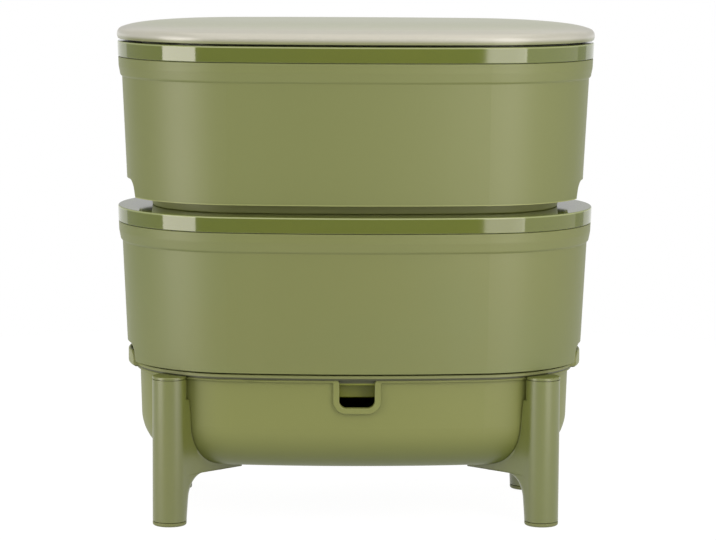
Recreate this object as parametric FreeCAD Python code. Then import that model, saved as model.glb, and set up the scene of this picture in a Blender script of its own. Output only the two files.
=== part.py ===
import FreeCAD, Part
import math
import os

# Stacking wormery: a collector on four legs, two worm trays and a lid.
# Millimetres, +Z up, floor at z = 0, front faces -Y.

# Plan outline of the lid: an oval of two end arcs and two shallow side arcs.
# Every other outline is set in from this one, so insets are measured from it.
lid_length = 495.0
lid_depth = 282.0
end_radius = 133.0

# Heights
leg_height = 152.0
collector_clearance = 56.0
collector_rim_z = 153.0
tray_skirt_z = 160.7
tray_height = 159.6
tray_standoff = 10.7
lid_gap = 2.1
lid_edge_height = 9.8
lid_crown_height = 20.0

# Collector
collector_wall = 3.0
collector_top_inset = 23.3
collector_draft = 0.03
collector_corner = 48.0
collector_lip_reach = 3.8
collector_lip_thickness = 2.4
collector_flat_margin = 6.0
notch_width = 36.0
notch_depth = 28.5
notch_corner = 7.3
notch_flare = 3.5
notch_lip_width = 6.2
notch_lip_proud = 3.2
notch_lip_round = 1.0
notch_lip_flare = 2.5

# Seat ring that carries the lower tray on the collector
ring_inset = 16.0
ring_top_z = 158.6
ring_edge = 4.0
ring_edge_wall = 3.5
ring_plate = 2.8
ring_lip = 18.0
ring_fit = 0.5
ear_width = 80.0
ear_inset = 11.0
ear_thickness = 4.2
ear_top_z = 170.5
ear_corner = 11.0
ear_heel_round = 3.0

# Tray
tray_wall = 2.9
skirt_inset = 10.9
step_inset = 5.2
step_height = 122.5
step_run = 1.8
step_rise = 2.0
shoulder_inset = 1.3
shoulder_rise = 11.0
shoulder_setback = 0.4
shoulder_round = 8.0
seam_gap = 0.6
tongue_fit = 0.3
shelf_height = 5.0
shelf_outer_inset = 35.0
foot_land_inset = 36.5
foot_land_round = 1.5
foot_drop = 16.0
foot_taper = 0.8
foot_round = 6.0
floor_margin = 16.0
slot_margin = 8.0
slot_width = 5.0
slot_length = 26.0
slot_pitch_x = 38.0
slot_pitch_y = 13.0
grip_width = 95.0
grip_height = 18.0
grip_flare = 0.25
grip_corner = 13.0
grip_depth_inset = 29.0

# Rim frame
frame_height = 16.0
frame_wall = 2.8
frame_top_inset = 0.4
frame_bottom_inset = 1.0
opening_inset = 46.5
opening_round = 1.5
opening_lip = 12.0
groove_width = 2.4
spigot_wall = 2.4
spigot_drop = 8.0
nest_clearance = 1.5

# Lid
lid_wall = 3.0
lid_edge_round = 8.0
lid_tuck = 1.0
lid_tuck_height = 3.5
lid_tuck_round = 6.0
lid_rise_inset = 10.0
lid_rise_share = 0.36
lid_rise_round = 55.0
lid_crown_inset = 72.0
lid_crown_round = 600.0
lid_middle_inset = 105.0
lid_rib = 2.4
lid_locator_drop = 7.0
lid_rest_inset = 26.0

# Legs
leg_end_setback = 57.0
leg_side_setback = 44.0
leg_diameter = 34.6
web_angle = 37.4
web_width = 19.0
web_top_z = 129.0
web_reach = 91.0
web_root_z = 47.6
web_tail_z = 54.6
web_fillet = 18.0
rail_width = 9.0
rail_proud = 3.0
rail_bottom_z = 112.0
rail_fit = 0.2
pad_height = 4.0
pad_groove = 0.7
pad_peg_diameter = 14.0
pad_peg_height = 14.0
peg_fit = 0.1
screw_diameter = 4.0
screw_head_diameter = 8.0
screw_head_height = 2.4
screw_recess_diameter = 2.6
screw_recess_depth = 1.2
screw_sink = 0.8
screw_reach = 62.0
screw_length = 13.0
boss_diameter = 11.0
boss_height = 9.0
pilot_fit = 0.05

# Strainer in the collector
strainer_plate_z = 84.0
strainer_plate = 2.6
strainer_clearance = 2.5
strainer_rib_height = 6.0
strainer_foot_diameter = 12.0
strainer_foot_end_setback = 137.5
strainer_foot_side_setback = 96.0
strainer_hole = 4.0
strainer_pitch = 17.0
strainer_web = 3.0
strainer_rim = 2.4

# Edge rounding used all over
crisp_round = 0.5
fine_round = 0.8
soft_round = 2.0
large_round = 5.0

# How far a cutting form runs past the face it opens
cut_margin = 5.0

# Worked out from the sizes above
half_length = lid_length / 2
half_depth = lid_depth / 2
end_centre = half_length - end_radius
side_radius = (end_centre ** 2 + half_depth ** 2 - end_radius ** 2) / (2 * (half_depth - end_radius))
side_centre = side_radius - half_depth
side_half_angle = math.degrees(math.atan2(end_centre, side_centre))
tray_pitch = tray_height + tray_standoff
leg_x = half_length - leg_end_setback
leg_y = half_depth - leg_side_setback
strainer_foot_x = half_length - strainer_foot_end_setback
strainer_foot_y = half_depth - strainer_foot_side_setback
up = FreeCAD.Vector(0, 0, 1)


def vector(x, y, z=0.0):
    return FreeCAD.Vector(x, y, z)


# The four arcs of the outline: centre, radius, first angle and sweep
def outline_arcs():
    end_sweep = 180 - 2 * side_half_angle
    side_sweep = 2 * side_half_angle
    return [
        (vector(end_centre, 0), end_radius, side_half_angle - 90, end_sweep),
        (vector(0, -side_centre), side_radius, 90 - side_half_angle, side_sweep),
        (vector(-end_centre, 0), end_radius, 90 + side_half_angle, end_sweep),
        (vector(0, side_centre), side_radius, 270 - side_half_angle, side_sweep),
    ]


# A closed outline parallel to the lid's, set in by inset, at height z
def plan(inset, z):
    edges = []
    for centre, radius, first, sweep in outline_arcs():
        points = []
        for angle in (first, first + sweep / 2, first + sweep):
            turned = math.radians(angle)
            reach = radius - inset
            points.append(centre + vector(reach * math.cos(turned), reach * math.sin(turned), z))
        edges.append(Part.Arc(*points).toShape())
    return Part.Wire(edges)


# A flat-ended block with the outline at inset
def slab(inset, z_low, z_high):
    return Part.Face(plan(inset, z_low)).extrude(up * (z_high - z_low))


# Closed wire in the XZ plane through corners (x, z, fillet radius)
def rounded_wire(corners):
    arcs = []
    count = len(corners)
    for index, (x, z, fillet) in enumerate(corners):
        here = vector(x, 0, z)
        before = vector(corners[index - 1][0], 0, corners[index - 1][1])
        after = vector(corners[(index + 1) % count][0], 0, corners[(index + 1) % count][1])
        back = (before - here).normalize()
        ahead = (after - here).normalize()
        half_turn = back.getAngle(ahead) / 2
        if fillet <= 0 or math.sin(half_turn) > 0.99999:
            arcs.append((here, None, here))
            continue
        cut = fillet / math.tan(half_turn)
        inward = (back + ahead).normalize()
        middle = here + inward * (fillet / math.sin(half_turn) - fillet)
        arcs.append((here + back * cut, middle, here + ahead * cut))
    edges = []
    for index, (entry, middle, leave) in enumerate(arcs):
        if middle is not None:
            edges.append(Part.Arc(entry, middle, leave).toShape())
        following = arcs[(index + 1) % count][0]
        if (following - leave).Length > 1e-6:
            edges.append(Part.LineSegment(leave, following).toShape())
    return Part.Wire(edges)


# Carries a section of corners (inset, z, fillet) once round the outline
def ring(corners):
    sectors = []
    for centre, radius, first, sweep in outline_arcs():
        wire = rounded_wire([(radius - inset, z, fillet) for inset, z, fillet in corners])
        face = Part.Face(wire)
        face.rotate(vector(0, 0), up, first)
        face.translate(centre)
        sectors.append(face.revolve(centre, up, sweep))
    return joined(sectors)


def joined(shapes):
    whole = shapes[0].fuse(shapes[1:]).removeSplitter()
    return whole.Solids[0] if len(whole.Solids) == 1 else whole


def cylinder(diameter, height, x, y, z):
    return Part.makeCylinder(diameter / 2, height, vector(x, y, z))


def box(x_low, x_high, y_low, y_high, z_low, z_high):
    size = (x_high - x_low, y_high - y_low, z_high - z_low)
    return Part.makeBox(*size, vector(x_low, y_low, z_low))


# Copies with mirrored X, so that a pair sits at both ends
def both_ends(shape):
    return [shape, shape.mirror(vector(0, 0), vector(1, 0))]


# A slot with round ends, long along X, standing from z_low to z_high
def slot(x, y, length, width, z_low, z_high):
    straight = (length - width) / 2
    bar = box(x - straight, x + straight, y - width / 2, y + width / 2, z_low, z_high)
    ends = [cylinder(width, z_high - z_low, x + side * straight, y, z_low) for side in (-1, 1)]
    return joined([bar] + ends)


# Half-depth of the outline at inset, at distance x from the middle
def depth_at(inset, x):
    if abs(x) < end_centre:
        return math.sqrt((side_radius - inset) ** 2 - x ** 2) - side_centre
    return math.sqrt(max((end_radius - inset) ** 2 - (abs(x) - end_centre) ** 2, 0.0))


# Rows of places that stay clear of the outline at inset by the given reach
def staggered(inset, pitch_x, pitch_y, reach_x, reach_y):
    places = []
    rows = int(half_depth // pitch_y)
    columns = int(half_length // pitch_x) + 1
    for row in range(-rows, rows + 1):
        offset = pitch_x / 2 if row % 2 else 0.0
        for column in range(-columns, columns + 1):
            x = column * pitch_x + offset
            y = row * pitch_y
            if abs(x) + reach_x > half_length - inset:
                continue
            if abs(y) + reach_y < depth_at(inset, abs(x) + reach_x):
                places.append((x, y))
    return places


# Outer form of the collector without its lip, as a filled block
def collector_hull(grow, top_z):
    low = collector_clearance - grow
    drop = collector_rim_z - (collector_clearance + collector_corner)
    low_inset = collector_top_inset + collector_draft * drop - grow
    top_inset = collector_top_inset - collector_draft * (top_z - collector_rim_z) - grow
    inner = low_inset + collector_corner + collector_flat_margin
    wall = ring([
        (inner, low, 0),
        (low_inset + collector_draft * collector_corner, low, collector_corner),
        (top_inset, top_z, 0),
        (inner, top_z, 0),
    ])
    return joined([wall, slab(inner, low, top_z)])


# Notch outline, wider by grow all round, flaring out at flare_z, running along Y at the front
def notch_block(grow, flare_z, flare, y_low, y_high):
    bottom = collector_rim_z - notch_depth - grow
    half = notch_width / 2 + grow
    wide = half + flare + cut_margin
    top = collector_rim_z + cut_margin
    wire = rounded_wire([
        (-wide, top, 0),
        (-wide, flare_z, 0),
        (-half, flare_z, flare),
        (-half, bottom, notch_corner + grow),
        (half, bottom, notch_corner + grow),
        (half, flare_z, flare),
        (wide, flare_z, 0),
        (wide, top, 0),
    ])
    block = Part.Face(wire).extrude(vector(0, y_high - y_low))
    block.translate(vector(0, y_low))
    return block


# Rounded lip that stands proud round the notch's edge
def notch_lip(hole):
    lip_low = collector_rim_z - collector_lip_thickness
    lip_inset = collector_top_inset - notch_lip_proud
    zone = slab(lip_inset, collector_clearance, collector_rim_z)
    zone = zone.cut(slab(collector_top_inset + collector_wall / 2, collector_clearance, collector_rim_z))
    block = notch_block(notch_lip_width, lip_low, notch_lip_flare, -half_depth, -half_depth / 2)
    lip = block.common(zone).cut(hole)
    front_y = notch_lip_proud / 3 - depth_at(lip_inset, 0)
    rim_edges = []
    for edge in lip.Edges:
        bounds = edge.BoundBox
        if bounds.YMax < front_y and bounds.ZMin < lip_low - notch_lip_round:
            rim_edges.append(edge)
    return lip.makeFillet(notch_lip_round, rim_edges)


def leg_places():
    return [(side_x, side_y) for side_y in (-1, 1) for side_x in (-1, 1)]


# Direction from a leg's post towards the middle of the collector
def web_direction(side_x, side_y):
    turned = math.radians(web_angle)
    return vector(-side_x * math.cos(turned), -side_y * math.sin(turned))


def screw_place(side_x, side_y):
    return vector(side_x * leg_x, side_y * leg_y) + web_direction(side_x, side_y) * screw_reach


# Upright rail on the collector's wall that a leg slides up on
def leg_rail(side_x, side_y, grow):
    post = vector(side_x * leg_x, side_y * leg_y)
    inward = (vector(side_x * end_centre, 0) - post).normalize()
    gap = (post - vector(side_x * end_centre, 0)).Length - (end_radius - collector_top_inset)
    length = gap + cut_margin
    start = gap - rail_proud - grow
    height = collector_rim_z - collector_lip_thickness - rail_bottom_z + 2 * grow
    rail = box(start, length, -rail_width / 2 - grow, rail_width / 2 + grow, 0, height)
    rail.rotate(vector(0, 0), up, math.degrees(math.atan2(inward.y, inward.x)))
    rail.translate(post + vector(0, 0, rail_bottom_z - grow))
    return rail


# Open tub with a rim lip and a lipped notch in front
def collector_base():
    low = collector_clearance
    floor = low + collector_wall
    lip_low = collector_rim_z - collector_lip_thickness
    shell = collector_hull(0, collector_rim_z)
    cavity_inset = collector_top_inset + collector_wall
    corner_z = low + collector_corner
    corner_inset = cavity_inset + collector_draft * (collector_rim_z - corner_z)
    inner = corner_inset + collector_corner + collector_flat_margin
    cavity_wall = ring([
        (inner, floor, 0),
        (corner_inset + collector_draft * collector_corner, floor, collector_corner - collector_wall),
        (cavity_inset - collector_draft * cut_margin, collector_rim_z + cut_margin, 0),
        (inner, collector_rim_z + cut_margin, 0),
    ])
    cavity = joined([cavity_wall, slab(inner, floor, collector_rim_z + cut_margin)])
    lip = ring([
        (collector_top_inset + 1, lip_low, 0),
        (collector_top_inset - collector_lip_reach, lip_low, fine_round),
        (collector_top_inset - collector_lip_reach, collector_rim_z, fine_round),
        (collector_top_inset + 1, collector_rim_z, 0),
    ])
    rails = [leg_rail(side_x, side_y, 0) for side_x, side_y in leg_places()]
    hole = notch_block(0, collector_rim_z, notch_flare, -half_depth, -half_depth / 2)
    bosses = []
    for side_x, side_y in leg_places():
        place = screw_place(side_x, side_y)
        bosses.append(cylinder(boss_diameter, boss_height, place.x, place.y, low).common(shell))
    tub = joined([shell, lip] + rails).cut(cavity)
    tub = tub.fuse(bosses)
    for side_x, side_y in leg_places():
        place = screw_place(side_x, side_y)
        pilot = screw_diameter + 2 * pilot_fit
        tub = tub.cut(cylinder(pilot, screw_length - web_tail_depth(), place.x, place.y, low - 1))
    return joined([tub.cut(hole), notch_lip(hole)])


# Thickness of a leg's tail where its screw passes
def web_tail_depth():
    slope = (web_tail_z - web_root_z) / (web_reach - leg_diameter / 2)
    tail_z = web_root_z + slope * (screw_reach - leg_diameter / 2)
    return collector_clearance - tail_z


# Ring on the collector's rim: a narrow visible edge and a sunk seat for the tray
def seat_ring():
    seat_z = tray_skirt_z - tray_standoff
    bore = collector_top_inset + collector_wall + ring_fit
    body = ring([
        (ring_inset, ring_top_z - ring_edge, crisp_round),
        (ring_inset, ring_top_z, fine_round),
        (bore + ring_plate, ring_top_z, soft_round),
        (bore + ring_plate + 1, seat_z, 0),
        (opening_inset, seat_z, opening_round),
        (opening_inset, seat_z - ring_lip, fine_round),
        (opening_inset - ring_plate, seat_z - ring_lip, fine_round),
        (opening_inset - ring_plate, seat_z - ring_plate, 0),
        (bore, seat_z - ring_plate, fine_round),
        (bore, collector_rim_z, 0),
        (ring_inset + ring_edge_wall, collector_rim_z, 0),
        (ring_inset + ring_edge_wall, ring_top_z - ring_edge, 0),
    ])
    return joined([body] + ears())


# Ears of the seat ring: upright tabs that stand in the lower tray's hand grips
def ears():
    root = ring_inset + ring_edge_wall / 2
    low = ring_top_z - ring_edge
    tab = ring([
        (root, low, 0),
        (ear_inset, low, ear_heel_round),
        (ear_inset, ear_top_z, soft_round),
        (ear_inset + ear_thickness, ear_top_z, soft_round),
        (ear_inset + ear_thickness, ring_top_z, 0),
        (root, ring_top_z, 0),
    ])
    half = ear_width / 2
    face = Part.Face(rounded_wire([
        (-half, low - 1, 0),
        (-half, ear_top_z, ear_corner),
        (half, ear_top_z, ear_corner),
        (half, low - 1, 0),
    ]))
    face.rotate(vector(0, 0), up, 90)
    band = face.extrude(vector(end_radius, 0))
    band.translate(vector(end_centre, 0))
    return both_ends(tab.common(band))


# Hand grips in the tray's ends: pockets open below, let into the skirt
def grip_pocket(skirt_z, grow):
    top = skirt_z + grip_height + grow
    half_top = grip_width / 2 - grip_flare * grip_height + grow
    half_low = grip_width / 2 + grip_flare * cut_margin + grow
    wire = rounded_wire([
        (-half_low, skirt_z - cut_margin, 0),
        (-half_top, top, grip_corner + grow),
        (half_top, top, grip_corner + grow),
        (half_low, skirt_z - cut_margin, 0),
    ])
    face = Part.Face(wire)
    face.rotate(vector(0, 0), up, 90)
    block = face.extrude(vector(half_length, 0))
    block.translate(vector(end_centre, 0))
    return block


# Worm tray: hanging skirt, shoulder under the frame, nesting foot with a slotted floor
def tray(skirt_z):
    step_z = skirt_z + step_height
    top_z = skirt_z + tray_height
    seam_z = top_z - frame_height - seam_gap
    groove_top = top_z - frame_wall
    seat_z = skirt_z - tray_standoff
    foot_z = seat_z - foot_drop
    shelf_z = skirt_z + shelf_height
    foot_inset = opening_inset + nest_clearance
    tongue_outer = frame_bottom_inset + frame_wall + tongue_fit
    tongue_inner = frame_top_inset + frame_wall + groove_width - tongue_fit
    inner = foot_inset + floor_margin
    wall = ring([
        (skirt_inset + tray_wall, skirt_z, fine_round),
        (skirt_inset, skirt_z, 0),
        (step_inset, step_z, crisp_round),
        (step_inset - step_run, step_z + step_rise, soft_round),
        (shoulder_inset + shoulder_setback, step_z + shoulder_rise, shoulder_round),
        (shoulder_inset, seam_z, fine_round),
        (tongue_outer, seam_z, 0),
        (tongue_outer, groove_top, crisp_round),
        (tongue_inner, groove_top, crisp_round),
        (tongue_inner, step_z + shoulder_rise / 2, soft_round),
        (step_inset + tray_wall, step_z - tray_wall, soft_round),
        (skirt_inset + tray_wall, shelf_z + tray_wall, large_round),
        (shelf_outer_inset + tray_wall, shelf_z + tray_wall, large_round),
        (foot_land_inset + tray_wall, seat_z + tray_wall, soft_round),
        (foot_inset + tray_wall, seat_z + tray_wall, soft_round),
        (foot_inset + tray_wall + foot_taper, foot_z + tray_wall, foot_round - tray_wall),
        (inner, foot_z + tray_wall, 0),
        (inner, foot_z, 0),
        (foot_inset + foot_taper, foot_z, foot_round),
        (foot_inset, seat_z, 0),
        (foot_land_inset, seat_z, foot_land_round),
        (shelf_outer_inset, shelf_z, soft_round),
        (skirt_inset + tray_wall, shelf_z, 0),
    ])
    body = joined([wall, slab(inner, foot_z, foot_z + tray_wall)])
    pocket = grip_pocket(skirt_z, tray_wall)
    pocket = pocket.common(slab(step_inset, shelf_z + 1, step_z))
    pocket = pocket.cut(slab(grip_depth_inset + tray_wall, skirt_z - cut_margin, step_z))
    pocket = pocket.common(tray_filler(skirt_z))
    hollow = grip_pocket(skirt_z, 0).cut(slab(grip_depth_inset, skirt_z - cut_margin, step_z))
    body = body.fuse(both_ends(pocket))
    for cutter in both_ends(hollow):
        body = body.cut(cutter)
    slots = []
    places = staggered(inner - slot_margin, slot_pitch_x, slot_pitch_y, slot_length / 2, slot_width / 2)
    for x, y in places:
        slots.append(slot(x, y, slot_length, slot_width, foot_z - 1, foot_z + tray_wall + 1))
    body = body.cut(Part.makeCompound(slots))
    return body.removeSplitter()


# Everything inside the outer face of a tray's skirt
def tray_filler(skirt_z):
    step_z = skirt_z + step_height
    inner = 2 * grip_depth_inset
    return ring([
        (inner, skirt_z, 0),
        (skirt_inset, skirt_z, 0),
        (step_inset, step_z, 0),
        (inner, step_z, 0),
    ])


# Gloss frame over a tray's mouth: outer band, wide flange, inner lip and a groove
def rim_frame(skirt_z):
    top_z = skirt_z + tray_height
    low_z = top_z - frame_height
    under_z = top_z - frame_wall
    band_inner = frame_bottom_inset + frame_wall
    spigot_outer = frame_top_inset + frame_wall + groove_width
    return ring([
        (frame_bottom_inset, low_z, crisp_round),
        (frame_top_inset, top_z, opening_round),
        (opening_inset, top_z, opening_round),
        (opening_inset, top_z - opening_lip, fine_round),
        (opening_inset - frame_wall, top_z - opening_lip, fine_round),
        (opening_inset - frame_wall, under_z, 0),
        (spigot_outer + spigot_wall, under_z, 0),
        (spigot_outer + spigot_wall, low_z - spigot_drop, fine_round),
        (spigot_outer, low_z - spigot_drop, fine_round),
        (spigot_outer, under_z, 0),
        (band_inner, under_z, 0),
        (band_inner, low_z, 0),
    ])


# Crowned lid with a turned-down edge, a rest rib and a locating rib under it
def lid():
    frame_top = tray_skirt_z + tray_pitch + tray_height
    edge_z = frame_top + lid_gap
    shoulder_z = edge_z + lid_edge_height
    crown_z = edge_z + lid_crown_height
    rise_z = shoulder_z + lid_rise_share * (crown_z - shoulder_z)
    roof_z = crown_z - lid_wall
    skin = ring([
        (lid_tuck, edge_z, fine_round),
        (0.0, edge_z + lid_tuck_height, lid_tuck_round),
        (0.0, shoulder_z, lid_edge_round),
        (lid_rise_inset, rise_z, lid_rise_round),
        (lid_crown_inset, crown_z, lid_crown_round),
        (lid_middle_inset, crown_z, 0),
        (lid_middle_inset, roof_z, 0),
        (lid_crown_inset, roof_z, lid_crown_round),
        (lid_rise_inset, rise_z - lid_wall, lid_rise_round / 2),
        (lid_wall, shoulder_z - lid_wall + lid_tuck, lid_edge_round - lid_wall),
        (lid_wall, edge_z + lid_tuck_height, lid_tuck_round),
        (lid_wall + lid_tuck, edge_z, fine_round),
    ])
    top = joined([skin, slab(lid_middle_inset, roof_z, crown_z)])
    locator = opening_inset + nest_clearance
    feet = [(lid_rest_inset, frame_top, 0), (locator, frame_top - lid_locator_drop, crisp_round)]
    ribs = []
    for inset, low_z, edge in feet:
        share = (inset - lid_rise_inset) / (lid_crown_inset - lid_rise_inset)
        high_z = rise_z + share * (crown_z - rise_z) - lid_wall / 2
        ribs.append(ring([
            (inset, low_z, edge),
            (inset, high_z, 0),
            (inset + lid_rib, high_z, 0),
            (inset + lid_rib, low_z, edge),
        ]))
    return joined([top] + ribs)


# Perforated plate that stands in the collector and keeps castings out of the liquid
def sump_strainer():
    inset = opening_inset + strainer_clearance
    plate = slab(inset, strainer_plate_z, strainer_plate_z + strainer_plate)
    rim = ring([
        (inset, strainer_plate_z - strainer_rib_height, fine_round),
        (inset, strainer_plate_z + strainer_plate, fine_round),
        (inset + strainer_rim, strainer_plate_z + strainer_plate, 0),
        (inset + strainer_rim, strainer_plate_z - strainer_rib_height, fine_round),
    ])
    floor = collector_clearance + collector_wall
    feet = []
    for side_x, side_y in leg_places():
        place = (side_x * strainer_foot_x, side_y * strainer_foot_y)
        feet.append(cylinder(strainer_foot_diameter, strainer_plate_z - floor, *place, floor))
    body = joined([plate, rim] + feet)
    holes = []
    reach = strainer_hole / 2 + strainer_web
    for x, y in staggered(inset + 2 * strainer_rim, strainer_pitch, strainer_pitch, reach, reach):
        clear = math.hypot(abs(x) - strainer_foot_x, abs(y) - strainer_foot_y)
        if clear > strainer_foot_diameter / 2 + reach:
            hole_z = strainer_plate_z - strainer_plate / 2
            holes.append(cylinder(strainer_hole, 2 * strainer_plate, x, y, hole_z))
    return body.cut(Part.makeCompound(holes)).removeSplitter()


# Leg: round post and a web that hugs the collector's corner down to a tail under it
def leg(side_x, side_y):
    x = side_x * leg_x
    y = side_y * leg_y
    radius = leg_diameter / 2
    foot_z = pad_height
    post_wire = rounded_wire([
        (0, foot_z, 0),
        (radius - pad_groove, foot_z, 0),
        (radius - pad_groove, foot_z + pad_groove, 0),
        (radius, foot_z + pad_groove, 0),
        (radius, leg_height, opening_round),
        (0, leg_height, 0),
    ])
    post = Part.Face(post_wire).revolve(vector(0, 0), up, 360)
    web_wire = rounded_wire([
        (0, web_top_z, 0),
        (0, foot_z + pad_groove + 1, 0),
        (radius, foot_z + pad_groove + 1, 0),
        (radius, web_root_z, web_fillet),
        (web_reach, web_tail_z, crisp_round),
        (web_reach, web_top_z, 0),
    ])
    web = Part.Face(web_wire).extrude(vector(0, web_width))
    web.translate(vector(0, -web_width / 2))
    body = joined([post, web])
    direction = web_direction(side_x, side_y)
    body.rotate(vector(0, 0), up, math.degrees(math.atan2(direction.y, direction.x)))
    body.translate(vector(x, y))
    body = body.cut(collector_hull(0, collector_rim_z + cut_margin))
    body = body.cut(leg_rail(side_x, side_y, rail_fit))
    lip_zone = collector_top_inset - collector_lip_reach - rail_fit
    lip_low = collector_rim_z - collector_lip_thickness - rail_fit
    body = body.cut(slab(lip_zone, lip_low, collector_rim_z + cut_margin))
    peg_hole = cylinder(pad_peg_diameter + 2 * peg_fit, pad_peg_height + 0.5, x, y, foot_z - 0.1)
    body = body.cut(peg_hole)
    place = screw_place(side_x, side_y)
    shank = screw_diameter + 2 * peg_fit
    head_z = collector_clearance - web_tail_depth()
    body = body.cut(cylinder(shank, screw_length + cut_margin, place.x, place.y, head_z - cut_margin))
    sink_z = head_z + screw_sink - cut_margin
    body = body.cut(cylinder(screw_head_diameter + 1, cut_margin, place.x, place.y, sink_z))
    return largest(body)


def largest(shape):
    return max(shape.Solids, key=lambda solid: solid.Volume)


# Foot pad: rounded glide under a leg, held by a peg
def foot_pad(side_x, side_y):
    radius = leg_diameter / 2
    peg = pad_peg_diameter / 2
    wire = rounded_wire([
        (0, 0, 0),
        (radius, 0, soft_round),
        (radius, pad_height, crisp_round),
        (peg, pad_height, 0),
        (peg, pad_height + pad_peg_height, fine_round),
        (0, pad_height + pad_peg_height, 0),
    ])
    pad = Part.Face(wire).revolve(vector(0, 0), up, 360)
    pad.translate(vector(side_x * leg_x, side_y * leg_y))
    return pad


# Four pan-head screws that pull the tails up against the collector's bosses
def leg_screws():
    screws = []
    head_z = collector_clearance - web_tail_depth() + screw_sink - screw_head_height
    for side_x, side_y in leg_places():
        place = screw_place(side_x, side_y)
        head = cylinder(screw_head_diameter, screw_head_height, place.x, place.y, head_z)
        shank = cylinder(screw_diameter, screw_length - 3, place.x, place.y, head_z + screw_head_height)
        recess = cylinder(screw_recess_diameter, screw_recess_depth, place.x, place.y, head_z)
        screws.append(joined([head, shank]).cut(recess))
    return Part.makeCompound(screws)


def save(name, shape):
    shape.exportStep("parts/" + name + ".step")
    print(name, "solids", len(shape.Solids), "volume", round(shape.Volume), "valid", shape.isValid())


os.makedirs("parts", exist_ok=True)
upper_skirt_z = tray_skirt_z + tray_pitch
save("lid", lid())
save("upper_rim_frame", rim_frame(upper_skirt_z))
save("upper_tray", tray(upper_skirt_z))
save("lower_rim_frame", rim_frame(tray_skirt_z))
save("lower_tray", tray(tray_skirt_z))
save("seat_ring", seat_ring())
save("sump_strainer", sump_strainer())
save("collector_base", collector_base())
save("leg_screws", leg_screws())
corner_names = {(-1, -1): "front_left", (1, -1): "front_right", (-1, 1): "rear_left", (1, 1): "rear_right"}
for corner, corner_name in corner_names.items():
    save(corner_name + "_leg", leg(*corner))
    save(corner_name + "_foot_pad", foot_pad(*corner))
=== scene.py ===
import math

import bpy
import numpy as np
from mathutils import Matrix, Vector


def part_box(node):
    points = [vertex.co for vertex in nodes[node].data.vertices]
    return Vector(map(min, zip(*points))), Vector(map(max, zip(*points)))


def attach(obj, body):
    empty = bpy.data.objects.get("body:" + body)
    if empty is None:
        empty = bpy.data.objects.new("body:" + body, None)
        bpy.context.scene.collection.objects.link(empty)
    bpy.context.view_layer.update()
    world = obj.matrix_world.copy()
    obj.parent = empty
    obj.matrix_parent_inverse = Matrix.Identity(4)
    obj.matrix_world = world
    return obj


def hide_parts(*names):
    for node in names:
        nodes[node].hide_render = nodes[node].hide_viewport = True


# Stacking wormery: lid, two trays with gloss rim frames, and a collector on four legs.
# Metres, +Z up, floor at z = 0, front faces -Y.

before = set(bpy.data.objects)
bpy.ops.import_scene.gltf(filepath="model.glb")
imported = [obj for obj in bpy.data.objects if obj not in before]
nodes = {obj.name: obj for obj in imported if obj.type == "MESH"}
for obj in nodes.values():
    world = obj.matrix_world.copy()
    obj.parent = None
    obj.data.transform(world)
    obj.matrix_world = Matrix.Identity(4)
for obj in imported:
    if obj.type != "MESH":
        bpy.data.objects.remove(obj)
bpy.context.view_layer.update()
print("frame loaded:", len(nodes), "nodes")


# Plan outline of the lid: two end arcs and two shallow side arcs. Every ring is a parallel of it.
outline = {
    "length": 0.495,
    "depth": 0.282,
    "endRadius": 0.133,
    "endSteps": 120,
    "sideSteps": 56,
    "roundSteps": 6,
}


# Arc centres, radii and outward directions once round the outline: a point at inset i is
# centre + (radius - i) * direction.
def outlineFrame():
    halfLength = outline["length"] / 2
    halfDepth = outline["depth"] / 2
    radius = outline["endRadius"]
    reach = halfLength - radius
    sideRadius = (reach ** 2 + halfDepth ** 2 - radius ** 2) / (2 * (halfDepth - radius))
    sideCentre = sideRadius - halfDepth
    lean = math.atan2(reach, sideCentre)
    arcs = [
        ((reach, 0), radius, lean - math.pi / 2, math.pi - 2 * lean, outline["endSteps"]),
        ((0, -sideCentre), sideRadius, math.pi / 2 - lean, 2 * lean, outline["sideSteps"]),
        ((-reach, 0), radius, math.pi / 2 + lean, math.pi - 2 * lean, outline["endSteps"]),
        ((0, sideCentre), sideRadius, 3 * math.pi / 2 - lean, 2 * lean, outline["sideSteps"]),
    ]
    centres, radii, angles = [], [], []
    for centre, arcRadius, first, sweep, steps in arcs:
        turn = first + sweep * np.arange(steps) / steps
        centres.append(np.tile(centre, (steps, 1)))
        radii.append(np.full(steps, arcRadius))
        angles.append(turn)
    angles = np.concatenate(angles)
    directions = np.stack([np.cos(angles), np.sin(angles)], axis=1)
    return np.concatenate(centres), np.concatenate(radii), directions


planCentres, planRadii, planDirections = outlineFrame()


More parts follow.
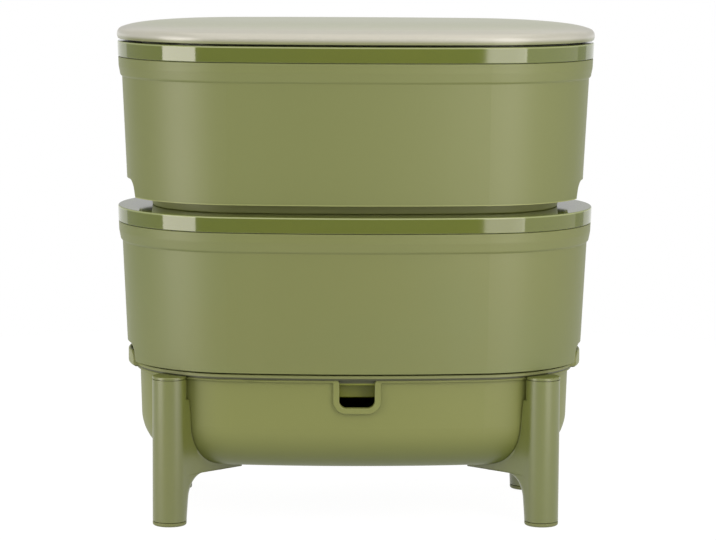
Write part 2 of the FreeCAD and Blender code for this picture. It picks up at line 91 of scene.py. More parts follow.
# Section through corners (inset, z, rounding). Gives inset, z, the outward normal in the section,
# and for each point whether a face runs on to the next one. A rounded corner is an arc whose
# points are arc centre +- rounding * normal; a sharp corner is two points with one normal each.
# The rounding "full" runs over half of the shorter side next to the corner.
def section(corners, closed=True):
    spots = np.array([(-inset, z) for inset, z, _ in corners], float)
    count = len(spots)
    area = np.sum(spots[:, 0] * np.roll(spots[:, 1], -1) - np.roll(spots[:, 0], -1) * spots[:, 1])
    side = 1.0 if area > 0 else -1.0
    rows = []
    for index, (_, _, rounding) in enumerate(corners):
        here = spots[index]
        before = here - spots[index - 1]
        after = spots[(index + 1) % count] - here
        if not closed and index == 0:
            before = after
        if not closed and index == count - 1:
            after = before
        room = min(np.linalg.norm(before), np.linalg.norm(after)) / 2
        before = before / np.linalg.norm(before)
        after = after / np.linalg.norm(after)
        normalIn = side * np.array([before[1], -before[0]])
        normalOut = side * np.array([after[1], -after[0]])
        turn = math.atan2(before[0] * after[1] - before[1] * after[0], float(before @ after))
        if abs(turn) < 1e-4 or (not closed and index in (0, count - 1)):
            rows.append((here, normalIn, True))
            continue
        if rounding == "full":
            rounding = room / math.tan(abs(turn) / 2)
        if rounding <= 0:
            rows.append((here, normalIn, False))
            rows.append((here, normalOut, True))
            continue
        bulge = 1.0 if turn * side > 0 else -1.0
        back = rounding * math.tan(abs(turn) / 2)
        arcCentre = here - before * back - bulge * rounding * normalIn
        start = math.atan2(normalIn[1], normalIn[0])
        for step in range(outline["roundSteps"] + 1):
            angle = start + turn * step / outline["roundSteps"]
            normal = np.array([math.cos(angle), math.sin(angle)])
            rows.append((arcCentre + bulge * rounding * normal, normal, True))
    places = np.array([row[0] for row in rows])
    normals = np.array([row[1] for row in rows])
    joins = np.array([row[2] for row in rows])
    if not closed:
        joins[-1] = False
    return -places[:, 0], places[:, 1], normals, joins


# Surface of section (v) carried round the outline (u):
# P(u, v) = centre(u) + (radius(u) - inset(v)) * direction(u) + z(v) * up
def ringSurface(corners, closed=True):
    inset, height, normal, joins = section(corners, closed)
    reach = planRadii[:, None] - inset[None, :]
    across = planCentres[:, None, :] + reach[:, :, None] * planDirections[:, None, :]
    up = np.broadcast_to(height[None, :, None], across.shape[:2] + (1,))
    points = np.concatenate([across, up], axis=2)
    flat = normal[None, :, :1] * planDirections[:, None, :]
    rise = np.broadcast_to(normal[None, :, 1:], flat.shape[:2] + (1,))
    normals = np.concatenate([flat, rise], axis=2)
    columns, rows = points.shape[:2]
    u, v = np.meshgrid(np.arange(columns), np.flatnonzero(joins), indexing="ij")
    nextU = (u + 1) % columns
    nextV = (v + 1) % rows
    quads = np.stack([u * rows + v, nextU * rows + v, nextU * rows + nextV, u * rows + nextV], axis=2)
    quads = quads.reshape(-1, 4)
    return orientated(points.reshape(-1, 3), normals.reshape(-1, 3), quads)


# Middle of a lid: from the outline at an inset (v = 0) straight in to the spine on the X axis
# (v = 1), level at one height.
def middleSurface(inset, height, upward, steps=14):
    rim = planCentres + (planRadii - inset)[:, None] * planDirections
    halfSpine = outline["length"] / 2 - outline["endRadius"]
    spine = np.stack([np.clip(rim[:, 0], -halfSpine, halfSpine), np.zeros(len(rim))], axis=1)
    share = np.linspace(0, 1, steps + 1)[None, :, None]
    across = rim[:, None, :] * (1 - share) + spine[:, None, :] * share
    points = np.concatenate([across, np.full(across.shape[:2] + (1,), height)], axis=2)
    normals = np.zeros_like(points)
    normals[:, :, 2] = 1.0 if upward else -1.0
    columns, rows = points.shape[:2]
    u, v = np.meshgrid(np.arange(columns), np.arange(rows - 1), indexing="ij")
    nextU = (u + 1) % columns
    quads = np.stack([u * rows + v, nextU * rows + v, nextU * rows + v + 1, u * rows + v + 1], axis=2)
    return orientated(points.reshape(-1, 3), normals.reshape(-1, 3), quads.reshape(-1, 4))


# Turns each face so that it looks the way its normals do
def orientated(points, normals, quads):
    first = points[quads[:, 2]] - points[quads[:, 0]]
    second = points[quads[:, 3]] - points[quads[:, 1]]
    facing = np.einsum("ij,ij->i", np.cross(first, second), normals[quads].sum(axis=1))
    quads = np.where((facing < 0)[:, None], quads[:, ::-1], quads)
    return points, normals, quads


# One object out of several surfaces, with the surfaces' own normals
def pieceFrom(name, surfaces, material):
    points, normals, quads = [], [], []
    count = 0
    for surfacePoints, surfaceNormals, surfaceQuads in surfaces:
        points.append(surfacePoints)
        normals.append(surfaceNormals)
        quads.append(surfaceQuads + count)
        count += len(surfacePoints)
    points = np.concatenate(points)
    normals = np.concatenate(normals)
    quads = np.concatenate(quads)
    mesh = bpy.data.meshes.new(name)
    mesh.from_pydata(points.tolist(), [], quads.tolist())
    mesh.polygons.foreach_set("use_smooth", np.ones(len(quads), bool))
    mesh.normals_split_custom_set_from_vertices(normals.tolist())
    mesh.materials.append(material)
    mesh.update()
    piece = bpy.data.objects.new(name, mesh)
    bpy.context.scene.collection.objects.link(piece)
    return piece


# A value in a material: sums, products and comparisons of values become Math nodes
class Value:
    def __init__(self, shader, socket):
        self.shader = shader
        self.socket = socket

    def maths(self, operation, *others):
        inputs = dict(enumerate((self,) + others))
        return self.shader.node("Math", {"operation": operation}, inputs)

    def __add__(self, other):
        return self.maths("ADD", other)

    def __radd__(self, other):
        return self + other

    def __sub__(self, other):
        return self.maths("SUBTRACT", other)

    def __rsub__(self, other):
        return (self * -1.0) + other

    def __mul__(self, other):
        return self.maths("MULTIPLY", other)

    def __rmul__(self, other):
        return self * other

    def __truediv__(self, other):
        return self.maths("DIVIDE", other)

    def between(self, low, high):
        inputs = {"Value": self, "From Min": low, "From Max": high}
        return self.shader.node("MapRange", {"interpolation_type": "SMOOTHSTEP"}, inputs, "Result")

    def limited(self):
        return self.maths("MINIMUM", 1.0).maths("MAXIMUM", 0.0)


# A node tree with one method that adds any node
class Shader:
    def __init__(self, name, world=None):
        self.owner = world or bpy.data.materials.new(name)
        self.owner.use_nodes = True
        self.tree = self.owner.node_tree
        self.tree.nodes.clear()

    def node(self, kind, settings=None, inputs=None, output=0):
        node = self.tree.nodes.new("ShaderNode" + kind)
        for key, value in (settings or {}).items():
            setattr(node, key, value)
        for key, value in (inputs or {}).items():
            if isinstance(value, Value):
                self.tree.links.new(value.socket, node.inputs[key])
            else:
                node.inputs[key].default_value = value
        return Value(self, node.outputs[output])

    def place(self):
        return self.node("TexCoord", output="Object")

    def noise(self, place, scale, detail=2.0, roughness=0.5):
        inputs = {"Vector": place, "Scale": scale, "Detail": detail, "Roughness": roughness}
        return self.node("TexNoise", {}, inputs, "Fac")

    def blend(self, share, first, second, mode="MIX"):
        settings = {"data_type": "RGBA", "blend_type": mode}
        return self.node("Mix", settings, {0: share, 6: first, 7: second}, 2)

    def finish(self, surface):
        kind = "OutputWorld" if isinstance(self.owner, bpy.types.World) else "OutputMaterial"
        output = self.tree.nodes.new("ShaderNode" + kind)
        self.tree.links.new(surface.socket, output.inputs["Surface"])
        return self.owner


# Moulded plastic. Colours are linear. The pigment drifts slowly over the moulding and is speckled
# very finely; grain is the texture of the mould, ripple its slow unevenness, both as relief. Each
# of the bands (from, to, colour) turns the colour into its own between two heights under top: the
# bands are painted light and shade by height.
def plastic(name, look, top=0.0):
    shader = Shader(name)
    place = shader.place()
    height = shader.node("SeparateXYZ", {}, {"Vector": place}, "Z") - top
    drift = shader.noise(place, look["driftScale"], look["driftDetail"])
    speckle = shader.noise(place, look["speckleScale"], look["speckleDetail"])
    drift = drift.between(look["driftFrom"], look["driftTo"])
    colour = shader.blend(drift, look["colour"], look["driftColour"])
    for low, high, bandColour in look["bands"]:
        colour = shader.blend(height.between(low, high), colour, bandColour)
    shade = 1.0 + (speckle - 0.5) * look["speckle"]
    shadeColour = shader.node("CombineColor", {}, {0: shade, 1: shade, 2: shade})
    colour = shader.blend(1.0, colour, shadeColour, "MULTIPLY")
    smudge = shader.noise(place, look["smudgeScale"], look["smudgeDetail"], look["noiseRoughness"])
    roughness = look["roughness"] + (smudge - 0.5) * look["smudge"]
    grain = shader.noise(place, look["grainScale"], look["grainDetail"], look["noiseRoughness"])
    ripple = shader.noise(place, look["rippleScale"], look["rippleDetail"])
    relief = grain * look["grain"] + ripple * look["ripple"]
    bump = shader.node("Bump", {}, {"Strength": 1.0, "Distance": 1.0, "Height": relief}, "Normal")
    inputs = {
        "Base Color": colour,
        "Roughness": roughness,
        "IOR": look["ior"],
        "Normal": bump,
    }
    return shader.finish(shader.node("BsdfPrincipled", {}, inputs, "BSDF"))


# The common finish of the trays; the other plastics name only what differs from it
matte = {
    "colour": (0.156, 0.176, 0.044, 1),
    "driftColour": (0.150, 0.176, 0.047, 1),
    "driftScale": 5.0,
    "driftDetail": 3.0,
    "driftFrom": 0.35,
    "driftTo": 0.65,
    "speckle": 0.10,
    "speckleScale": 1400.0,
    "speckleDetail": 2.0,
    "roughness": 0.48,
    "smudge": 0.06,
    "smudgeScale": 9.0,
    "smudgeDetail": 4.0,
    "grain": 0.000035,
    "grainScale": 1700.0,
    "grainDetail": 3.0,
    "ripple": 0.00006,
    "rippleScale": 9.0,
    "rippleDetail": 1.0,
    "noiseRoughness": 0.6,
    "ior": 1.68,
    "bands": [],
}
# Gloss of the rim frames. The pale band on the rounding just under the top edge is a painted highlight.
gloss = dict(
    matte,
    colour=(0.107, 0.131, 0.010, 1),
    driftColour=(0.102, 0.131, 0.012, 1),
    speckle=0.03,
    roughness=0.07,
    ior=1.83,
    smudge=0.05,
    grain=0.000001,
    grainScale=600.0,
    ripple=0.00004,
    rippleScale=14.0,
    bands=[(-0.0020, -0.0013, (0.240, 0.280, 0.100, 1)), (-0.0004, -0.0001, (0.105, 0.131, 0.011, 1))],
)
# The lid is green at the foot of its edge; above that its colour turns pale by height, a painted highlight
# on the edge's rounding and a painted reflection over the crown
lidLook = dict(
    matte,
    colour=(0.165, 0.175, 0.050, 1),
    driftColour=(0.160, 0.175, 0.052, 1),
    speckle=0.03,
    roughness=0.29,
    grain=0.000006,
    ior=1.95,
    bands=[(-0.0188, -0.0148, (0.415, 0.415, 0.350, 1)), (-0.0085, -0.0020, (0.380, 0.405, 0.275, 1))],
)
legLook = dict(
    matte,
    colour=(0.138, 0.156, 0.030, 1),
    driftColour=(0.133, 0.156, 0.032, 1),
    speckle=0.04,
    roughness=0.33,
    smudge=0.02,
    grain=0.000002,
    grainScale=700.0,
    ripple=0.00001,
    ior=1.80,
)
# Heights over the lower frame: the upper tray's foot under its skirt is painted paler, painted light in the
# recess under the skirt
trayLook = dict(
    matte,
    bands=[(-0.0010, 0.0000, (0.260, 0.290, 0.090, 1)), (0.0114, 0.0117, (0.153, 0.176, 0.045, 1))],
)
# Heights over the floor: the ring's skirt in the notch is painted pale as painted light, the dark band where
# the ring meets the collector is a painted shadow in the gap between them, and the rim is painted pale as a
# painted highlight on its edge
ringLook = dict(
    matte,
    colour=(0.240, 0.270, 0.010, 1),
    driftColour=(0.235, 0.270, 0.010, 1),
    bands=[(0.1475, 0.1500, (0.055, 0.062, 0.012, 1)), (0.1552, 0.1560, (0.205, 0.228, 0.066, 1))],
)
# Heights over the floor: the tub is painted darker towards its underside, a painted shade where it turns to
# face down
collectorLook = dict(
    matte,
    colour=(0.125, 0.146, 0.018, 1),
    driftColour=(0.120, 0.146, 0.019, 1),
    ior=1.58,
    bands=[(0.0560, 0.0980, (0.188, 0.209, 0.053, 1))],
)
padLook = dict(matte, roughness=0.55, colour=(0.155, 0.170, 0.045, 1), driftColour=(0.150, 0.168, 0.048, 1))
strainerLook = dict(matte, roughness=0.42, colour=(0.150, 0.172, 0.038, 1))

trayMaterial = plastic("tray_matte_green", trayLook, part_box("lower_rim_frame")[1].z)
ringMaterial = plastic("ring_matte_green", ringLook)
upperFrameMaterial = plastic("upper_frame_gloss_green", gloss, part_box("upper_rim_frame")[1].z)
lowerFrameMaterial = plastic("lower_frame_gloss_green", gloss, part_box("lower_rim_frame")[1].z)
lidMaterial = plastic("lid_green", lidLook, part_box("lid")[1].z)
legMaterial = plastic("leg_matte_green", legLook)
collectorMaterial = plastic("collector_matte_green", collectorLook)
padMaterial = plastic("pad_green", padLook)
strainerMaterial = plastic("strainer_green", strainerLook)


# Bright steel of the screws, with fine turned lines round their axes
steelLook = {
    "colour": (0.60, 0.60, 0.58, 1),
    "roughness": 0.28,
    "lines": 0.18,
    "lineScale": 2600.0,
    "wobble": 3.0,
    "wobbleScale": 300.0,
}


def steel(name, look):
    shader = Shader(name)
    place = shader.place()
    height = shader.node("SeparateXYZ", {}, {"Vector": place}, "Z")
    wobble = shader.noise(place, look["wobbleScale"])
    lines = (height * look["lineScale"] + wobble * look["wobble"]).maths("SINE") * 0.5 + 0.5
    roughness = look["roughness"] + (lines - 0.5) * look["lines"]
    inputs = {"Base Color": look["colour"], "Metallic": 1.0, "Roughness": roughness}
    return shader.finish(shader.node("BsdfPrincipled", {}, inputs, "BSDF"))


steelMaterial = steel("screw_steel", steelLook)

finishes = {
    "lid": lidMaterial,
    "upper_rim_frame": upperFrameMaterial,
    "lower_rim_frame": lowerFrameMaterial,
    "upper_tray": trayMaterial,
    "lower_tray": trayMaterial,
    "seat_ring": ringMaterial,
    "sump_strainer": strainerMaterial,
    "collector_base": collectorMaterial,
    "leg_screws": steelMaterial,
}
for nodeName, node in nodes.items():
    finish = finishes.get(nodeName)
    if finish is None:
        finish = padMaterial if nodeName.endswith("foot_pad") else legMaterial
    if not node.data.materials:
        node.data.materials.append(finish)
    for index in range(len(node.material_slots)):
        node.material_slots[index].material = finish
print("materials assigned")


# Gloss rim frame over a tray's mouth: outer band, flat flange, inner lip, groove for the tray
rim = {
    "height": 0.016,
    "wall": 0.0028,
    "topInset": 0.0004,
    "bottomInset": 0.0010,
    "openingInset": 0.0465,
    "openingLip": 0.012,
    "grooveWidth": 0.0024,
    "spigotWall": 0.0024,
    "spigotDrop": 0.008,
    "edgeRound": 0.0015,
    "hemRound": 0.0005,
    "lipRound": 0.0008,
}


def rimFrame(node, body):
    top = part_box(node)[1].z
    low = top - rim["height"]
    under = top - rim["wall"]
    inner = rim["openingInset"] - rim["wall"]
    spigotOuter = rim["topInset"] + rim["wall"] + rim["grooveWidth"]
    spigotInner = spigotOuter + rim["spigotWall"]
    surface = ringSurface([
        (rim["bottomInset"], low, rim["hemRound"]),
        (rim["topInset"], top, rim["edgeRound"]),
        (rim["openingInset"], top, rim["edgeRound"]),
        (rim["openingInset"], top - rim["openingLip"], rim["lipRound"]),
        (inner, top - rim["openingLip"], rim["lipRound"]),
        (inner, under, 0.0),
        (spigotInner, under, 0.0),
        (spigotInner, low - rim["spigotDrop"], rim["lipRound"]),
        (spigotOuter, low - rim["spigotDrop"], rim["lipRound"]),
        (spigotOuter, under, 0.0),
        (rim["bottomInset"] + rim["wall"], under, 0.0),
        (rim["bottomInset"] + rim["wall"], low, 0.0),
    ])
    piece = pieceFrom(node + "_moulding", [surface], finishes[node])
    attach(piece, body)
    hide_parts(node)


rimFrame("upper_rim_frame", "upper_tier")
rimFrame("lower_rim_frame", "lower_tier")
print("rim frames built")


# Lid: crowned skin with a turned-down edge, a rest rib and a locating rib under it. The dome is
# the crown's way up from the edge, as insets and heights over the edge.
lid = {
    "edgeHeight": 0.0098,
    "crownHeight": 0.020,
    "gap": 0.0021,
    "wall": 0.003,
    "edgeRound": 0.007,
    "tuck": 0.001,
    "tuckHeight": 0.0035,
    "tuckRound": 0.006,
    "dome": [(0.009, 0.0132), (0.018, 0.0152), (0.032, 0.0170), (0.052, 0.0186), (0.078, 0.0197)],
    "middleInset": 0.105,
    "hemRound": 0.0008,
    "rib": 0.0024,
    "ribRound": 0.0004,
    "restInset": 0.026,
    "locatorInset": 0.048,
    "locatorDrop": 0.007,
}


def lidPiece():
    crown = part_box("lid")[1].z
    edge = crown - lid["crownHeight"]
    shoulder = edge + lid["edgeHeight"]
    seat = edge - lid["gap"]
    roof = crown - lid["wall"]
    outside = [(inset, edge + height, "full") for inset, height in lid["dome"]]
    inside = [(inset, edge + height - lid["wall"], "full") for inset, height in lid["dome"]]
    skin = ringSurface([
        (lid["middleInset"], crown, 0.0),
        *reversed(outside),
        (0.0, shoulder, lid["edgeRound"]),
        (0.0, edge + lid["tuckHeight"], lid["tuckRound"]),
        (lid["tuck"], edge, lid["hemRound"]),
        (lid["wall"] + lid["tuck"], edge, lid["hemRound"]),
        (lid["wall"], edge + lid["tuckHeight"], lid["tuckRound"]),
        (lid["wall"], shoulder - lid["wall"] + lid["tuck"], lid["tuck"]),
        *inside,
        (lid["middleInset"], roof, 0.0),
    ], closed=False)
    surfaces = [skin]
    surfaces.append(middleSurface(lid["middleInset"], crown, True))
    surfaces.append(middleSurface(lid["middleInset"], roof, False))
    for inset, low in ((lid["restInset"], seat), (lid["locatorInset"], seat - lid["locatorDrop"])):
        high = edge + np.interp(inset, *zip(*lid["dome"])) - lid["wall"] / 2
        surfaces.append(ringSurface([
            (inset, low, lid["ribRound"]),
            (inset, high, 0.0),
            (inset + lid["rib"], high, 0.0),
            (inset + lid["rib"], low, lid["ribRound"]),
        ]))
    piece = pieceFrom("lid_moulding", surfaces, lidMaterial)
    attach(piece, "cover")
    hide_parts("lid")


lidPiece()
print("lid built")


# Tub of the collector, as far as the legs need it to follow its wall
tub = {
    "low": 0.056,
    "rim": 0.153,
    "topInset": 0.0233,
    "draft": 0.03,
    "corner": 0.048,
    "lipReach": 0.0038,
    "lipLow": 0.1503,
}
# Legs: a round post that flows into a web under the collector. The web's middle line leaves the
# post at startTurn and bends to end at the tail. The post widens by taper per height, and an
# elliptical fillet runs from it into the web's flat underside. Over the web, fade gives by height
# how much of its reach is left. The spans (from, to, count) are the heights of the sections, which
# stand closest where the shape turns.
legs = {
    "endSetback": 0.057,
    "sideSetback": 0.044,
    "radius": 0.0173,
    "bottom": 0.0047,
    "top": 0.1543,
    "topRound": 0.001,
    "seam": (0.1508, 0.1516),
    "seamDepth": 0.0014,
    "startTurn": 50.0,
    "startPull": 0.035,
    "endTurn": 37.4,
    "reach": 0.091,
    "tailRadius": 0.005,
    "taper": 0.115,
    "filletWidth": 0.020,
    "filletHeight": 0.024,
    "underside": 0.0511,
    "fade": [(0.098, 1.0), (0.129, 0.42), (0.1295, 0.02)],
    "least": 0.004,
    "wallGap": 0.0016,
    "wallBite": 0.002,
    "spans": [(0.0055, 0.0300, 8), (0.0320, 0.0480, 17), (0.0482, 0.0514, 17), (0.0555, 0.0562, 2),
              (0.0566, 0.0700, 16), (0.0720, 0.1290, 30), (0.1296, 0.1296, 1)],
    "closeBy": 0.0001,
    "arcSteps": 44,
    "webSteps": 14,
    "capSteps": 26,
    "roundSteps": 5,
    "wallSteps": 400,
    "sharpAngle": 38.0,
}


# Radius of the tub's wall round the middle of its end arc, 0 under the floor
def tubWall(height):
    if height < tub["low"]:
        return 0.0
    if height > tub["lipLow"]:
        return outline["endRadius"] - tub["topInset"] + tub["lipReach"]
    wall = outline["endRadius"] - tub["topInset"] - tub["draft"] * (tub["rim"] - height)
    below = max(tub["low"] + tub["corner"] - height, 0.0)
    return wall - tub["corner"] + math.sqrt(tub["corner"] ** 2 - below ** 2)


# How far along the web's middle line a leg reaches at a height, as a share: the post's taper plus
# width * (1 - sqrt(1 - t^2)) of the fillet, t being 0 where it starts and 1 at the underside
def legShare(height):
    if height > legs["underside"]:
        return 1.0
    t = max(height - legs["underside"] + legs["filletHeight"], 0.0) / legs["filletHeight"]
    reach = legs["taper"] * (height - legs["bottom"]) + legs["filletWidth"] * (1 - math.sqrt(1 - t ** 2))
    return reach / (2 * legs["startPull"] - legs["radius"] + legs["tailRadius"])


# Section of a leg at a height: the envelope of circles along the web's middle line
# c(u) = (1 - u)^2 post + 2 u (1 - u) pull + u^2 tail, with radius r(u) = post + u (tail - post),
# for u up to the leg's share or to the wall, and kept out of the tub.
def legSection(height):
    post = np.array([legs["endSetback"] - outline["length"] / 2, legs["sideSetback"] - outline["depth"] / 2])
    start = math.radians(legs["startTurn"])
    end = math.radians(legs["endTurn"])
    shrink = legs["radius"] - legs["tailRadius"]
    pull = post + legs["startPull"] * np.array([math.cos(start), math.sin(start)])
    tail = post + (legs["reach"] - legs["tailRadius"]) * np.array([math.cos(end), math.sin(end)])

    def middle(u):
        return (1 - u) ** 2 * post + 2 * u * (1 - u) * pull + u ** 2 * tail

    def touch(u, side):
        slope = 2 * (1 - u) * (pull - post) + 2 * u * (tail - pull)
        length = np.linalg.norm(slope)
        ahead = slope / length
        lean = shrink / length
        outward = side * np.array([ahead[1], -ahead[0]]) * math.sqrt(1 - lean ** 2) + lean * ahead
        return outward, math.atan2(outward[1], outward[0])

    def circle(u, first, last, steps):
        turn = first + ((last - first) % (2 * math.pi)) * np.linspace(0, 1, steps)
        spread = np.stack([np.cos(turn), np.sin(turn)], axis=1)
        return middle(u) + (legs["radius"] - shrink * u) * spread

    def side(u, which):
        return middle(u) + (legs["radius"] - shrink * u) * touch(u, which)[0]

    arcCentre = np.array([outline["endRadius"] - outline["length"] / 2, 0.0])
    wall = tubWall(height)
    share = legShare(height)
    for u in np.linspace(0, 1, legs["wallSteps"]):
        if np.linalg.norm(middle(u) - arcCentre) < wall - legs["wallBite"]:
            share = min(share, u)
            break
    share = max(share * np.interp(height, *zip(*legs["fade"])), legs["least"])
    arc = circle(0.0, touch(0.0, -1)[1], touch(0.0, 1)[1], legs["arcSteps"])
    along = share * np.linspace(0, 1, legs["webSteps"])[1:-1]
    front = [side(u, 1) for u in along]
    back = [side(u, -1) for u in along[::-1]]
    cap = circle(share, touch(share, 1)[1], touch(share, -1)[1], legs["capSteps"])
    points = np.concatenate([arc, front, cap, back])
    away = points - arcCentre
    distance = np.linalg.norm(away, axis=1, keepdims=True)
    keep = wall + legs["wallGap"] if wall else 0.0
    return arcCentre + away * np.maximum(keep / distance, 1.0), post


# Surface through the sections of a leg at rising heights, closed by a flat top and underside:
# P(u, v) = post + (1 - draw(v) / radius) * (section(u, v) - post), z(v). The section is the front
# left leg's; sideX -1 is left, sideY -1 is front.
def legPiece(node, sideX, sideY):
    low, high = legs["seam"]
    top = legs["top"]
    closeBy = legs["closeBy"]
    levels = [(legs["bottom"], 0.0)]
    for first, last, steps in legs["spans"]:
        levels += [(height, 0.0) for height in np.linspace(first, last, steps)]
    levels += [(tub["lipLow"] - closeBy, 0.0), (tub["lipLow"] + closeBy, 0.0), (low, 0.0)]
    levels += [(low + closeBy, legs["seamDepth"]), (high - closeBy, legs["seamDepth"]), (high, 0.0)]
    for step in range(legs["roundSteps"] + 1):
        turn = math.pi / 2 * step / legs["roundSteps"]
        drop = legs["topRound"] * (1 - math.sin(turn))
        levels.append((top - drop, legs["topRound"] * (1 - math.cos(turn))))
    rows = []
    for height, draw in levels:
        points, post = legSection(height)
        points = post + (points - post) * (1 - draw / legs["radius"])
        rows.append(np.column_stack([points, np.full(len(points), height)]))
    count = len(rows[0])
    points = np.concatenate(rows + [[[*post, legs["bottom"]]], [[*post, top]]])
    v, u = np.meshgrid(np.arange(len(rows) - 1), np.arange(count), indexing="ij")
    nextU = (u + 1) % count
    here, above = v * count, (v + 1) * count
    quads = np.stack([here + u, here + nextU, above + nextU, above + u], axis=2)
    around = np.arange(count)
    last = (len(rows) - 1) * count
    following = (around + 1) % count
    floorFan = np.column_stack([following, around, np.full(count, len(points) - 2)])
    topFan = np.column_stack([last + around, last + following, np.full(count, len(points) - 1)])
    faces = quads.reshape(-1, 4).tolist() + floorFan.tolist() + topFan.tolist()
    points = points * np.array([-sideX, -sideY, 1.0])
    if sideX * sideY < 0:
        faces = [face[::-1] for face in faces]
    mesh = bpy.data.meshes.new(node + "_moulding")
    mesh.from_pydata(points.tolist(), [], faces)
    mesh.polygons.foreach_set("use_smooth", np.ones(len(faces), bool))
    mesh.set_sharp_from_angle(angle=math.radians(legs["sharpAngle"]))
    mesh.materials.append(legMaterial)
    piece = bpy.data.objects.new(node + "_moulding", mesh)
    bpy.context.scene.collection.objects.link(piece)
    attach(piece, "stand")
    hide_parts(node)


for row, sideY in (("front", -1), ("rear", 1)):
    for side, sideX in (("left", -1), ("right", 1)):
        legPiece(row + "_" + side + "_leg", sideX, sideY)
print("legs built")


# Floor, world and lamps: a pale floor, a white backdrop behind, soft boxes at both sides and a
# canopy of strips that bends over the object from the front to the back
studio = {
    "floorRadius": 1.3,
    "floorSides": 96,
    "floorColour": (0.62, 0.62, 0.62, 1),
    "floorShade": (0.50, 0.50, 0.50, 1),
    "toneScale": 4.0,
    "toneFrom": 0.3,
    "toneTo": 0.7,
    "floorWhite": 0.85,
    "floorGlow": 1.13,
    "front": 0.30,
    "frontCosine": 0.80,
    "frontBlend": 0.15,
    "surround": 0.52,
    "backdrop": 0.60,
    "backdropCosine": 0.695,
    "backdropBlend": 0.02,
    "horizon": 1.10,
    "horizonHeight": 0.12,
    "leastSquare": 0.0001,
    "lampColour": (1.065, 0.996, 0.939),
}
# Upright soft boxes that face the Z axis, in columns of one plan place and width: each box is its
# name, middle height, own height and radiance
softBoxes = [
    {"place": (-1.02, -0.56), "width": 0.617, "boxes": [
        ("left_low", 0.125, 0.25, 3.2),
        ("left_middle", 0.375, 0.25, 3.9),
        ("left_high", 0.675, 0.35, 1.7),
    ]},
    {"place": (0.535, -0.67), "width": 0.44, "boxes": [
        ("right_low", 0.125, 0.25, 2.1),
        ("right_middle", 0.375, 0.25, 2.8),
        ("right_high", 0.675, 0.35, 2.3),
    ]},
    {"place": (1.083, -0.191), "width": 1.22, "boxes": [
        ("right_wide", 0.35, 0.90, 0.42),
    ]},
]
# Strips of the canopy, one every step degrees up from the front (past 90 they hang behind): one
# radiance up to the crest, and a low one behind it
canopy = {
    "height": 0.45,
    "distance": 1.70,
    "stripWidth": 2.60,
    "stripDepth": 0.58,
    "first": 15,
    "step": 19,
    "count": 8,
    "crest": 100,
    "front": 1.0,
    "back": 0.25,
}


# Lamp of an even radiance: its power is radiance * pi * area
def lampPiece(name, middle, target, size, radiance):
    width, height = size
    lamp = bpy.data.lights.new(name, "AREA")
    lamp.shape = "RECTANGLE"
    lamp.size = width
    lamp.size_y = height
    lamp.energy = radiance * math.pi * width * height
    lamp.color = studio["lampColour"]
    holder = bpy.data.objects.new(name, lamp)
    holder.location = middle
    facing = Vector(target) - Vector(middle)
    holder.rotation_euler = facing.to_track_quat("-Z", "Y").to_euler()
    bpy.context.scene.collection.objects.link(holder)


for column in softBoxes:
    for name, middleHeight, height, radiance in column["boxes"]:
        place = (*column["place"], middleHeight)
        lampPiece(name, place, (0, 0, middleHeight), (column["width"], height), radiance)
for number in range(canopy["count"]):
    degrees = canopy["first"] + canopy["step"] * number
    radiance = canopy["front"] if degrees < canopy["crest"] else canopy["back"]
    across = -canopy["distance"] * math.cos(math.radians(degrees))
    rise = canopy["height"] + canopy["distance"] * math.sin(math.radians(degrees))
    target = (0, 0, canopy["height"])
    size = (canopy["stripWidth"], canopy["stripDepth"])
    lampPiece("strip_%d" % degrees, (0, across, rise), target, size, radiance)


# World light by direction: dim in front, brighter round the sides, and a backdrop behind that is
# brightest at the horizon. Camera rays see plain white.
def worldShader():
    world = bpy.data.worlds.new("studio")
    bpy.context.scene.world = world
    shader = Shader("studio", world)
    direction = shader.node("TexCoord", output="Generated")
    x = shader.node("SeparateXYZ", {}, {"Vector": direction}, "X")
    y = shader.node("SeparateXYZ", {}, {"Vector": direction}, "Y")
    z = shader.node("SeparateXYZ", {}, {"Vector": direction}, "Z")
    cosine = y / (x * x + y * y + studio["leastSquare"]).maths("SQRT")
    backdropFrom = studio["backdropCosine"] - studio["backdropBlend"]
    behind = cosine.between(backdropFrom, studio["backdropCosine"] + studio["backdropBlend"])
    before = cosine.between(-studio["frontCosine"], studio["frontBlend"] - studio["frontCosine"])
    around = studio["front"] + before * (studio["surround"] - studio["front"])
    fall = z.between(0.0, studio["horizonHeight"])
    backdrop = studio["horizon"] + fall * (studio["backdrop"] - studio["horizon"])
    strength = around + behind * (backdrop - around)
    seen = shader.node("LightPath", output="Is Camera Ray")
    strength = strength + seen * (1.0 - strength)
    shader.finish(shader.node("Background", {}, {"Color": (1, 1, 1, 1), "Strength": strength}))


worldShader()


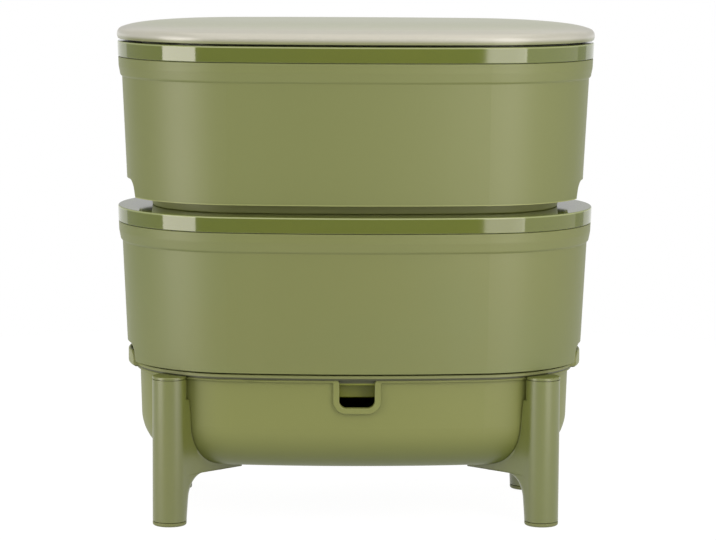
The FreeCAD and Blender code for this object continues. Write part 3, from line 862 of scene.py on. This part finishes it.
# Round floor: lit paper that shows the object's shadow, mixed with a plain white for the camera
def floorPiece():
    turn = np.linspace(0, 2 * math.pi, studio["floorSides"], endpoint=False)
    points = [(0.0, 0.0, 0.0)]
    points += [(studio["floorRadius"] * math.cos(a), studio["floorRadius"] * math.sin(a), 0.0) for a in turn]
    faces = [(0, 1 + i, 1 + (i + 1) % len(turn)) for i in range(len(turn))]
    mesh = bpy.data.meshes.new("floor")
    mesh.from_pydata(points, [], faces)
    floor = bpy.data.objects.new("floor", mesh)
    bpy.context.scene.collection.objects.link(floor)
    shader = Shader("floor_white")
    place = shader.place()
    tone = shader.noise(place, studio["toneScale"]).between(studio["toneFrom"], studio["toneTo"])
    paper = shader.blend(tone, studio["floorColour"], studio["floorShade"])
    lit = shader.node("BsdfDiffuse", {}, {"Color": paper})
    white = shader.node("Emission", {}, {"Color": (1, 1, 1, 1), "Strength": studio["floorGlow"]})
    camera = shader.node("LightPath", output="Is Camera Ray")
    glossy = shader.node("LightPath", output="Is Glossy Ray")
    share = (camera + glossy).limited() * studio["floorWhite"]
    mesh.materials.append(shader.finish(shader.node("MixShader", {}, {0: share, 1: lit, 2: white})))


floorPiece()
print("studio built")


# Camera at the photograph's viewing angle
view = {
    "distance": 3.104,
    "height": 0.639,
    "turn": 1.49,
    "pitch": 7.13,
    "roll": -0.33,
    "lens": 150.18,
    "sensor": 36.0,
    "shiftX": 0.0046,
    "clipEnd": 50.0,
}


def cameraPiece():
    turn = math.radians(view["turn"])
    pitch = math.radians(view["pitch"])
    roll = math.radians(view["roll"])
    forward = Vector((math.sin(turn) * math.cos(pitch), math.cos(turn) * math.cos(pitch), -math.sin(pitch)))
    right = Vector((math.cos(turn), -math.sin(turn), 0))
    up = Vector((math.sin(turn) * math.sin(pitch), math.cos(turn) * math.sin(pitch), math.cos(pitch)))
    across = right * math.cos(roll) - up * math.sin(roll)
    above = right * math.sin(roll) + up * math.cos(roll)
    camera = bpy.data.cameras.new("camera")
    camera.lens = view["lens"]
    camera.sensor_width = view["sensor"]
    camera.sensor_fit = "HORIZONTAL"
    camera.shift_x = view["shiftX"]
    camera.clip_end = view["clipEnd"]
    holder = bpy.data.objects.new("camera", camera)
    place = Vector((-view["distance"] * math.sin(turn), -view["distance"] * math.cos(turn), view["height"]))
    holder.matrix_world = Matrix.Translation(place) @ Matrix((across, above, -forward)).transposed().to_4x4()
    bpy.context.scene.collection.objects.link(holder)
    bpy.context.scene.camera = holder


cameraPiece()
bpy.context.scene.view_settings.view_transform = "Standard"
print("camera placed")
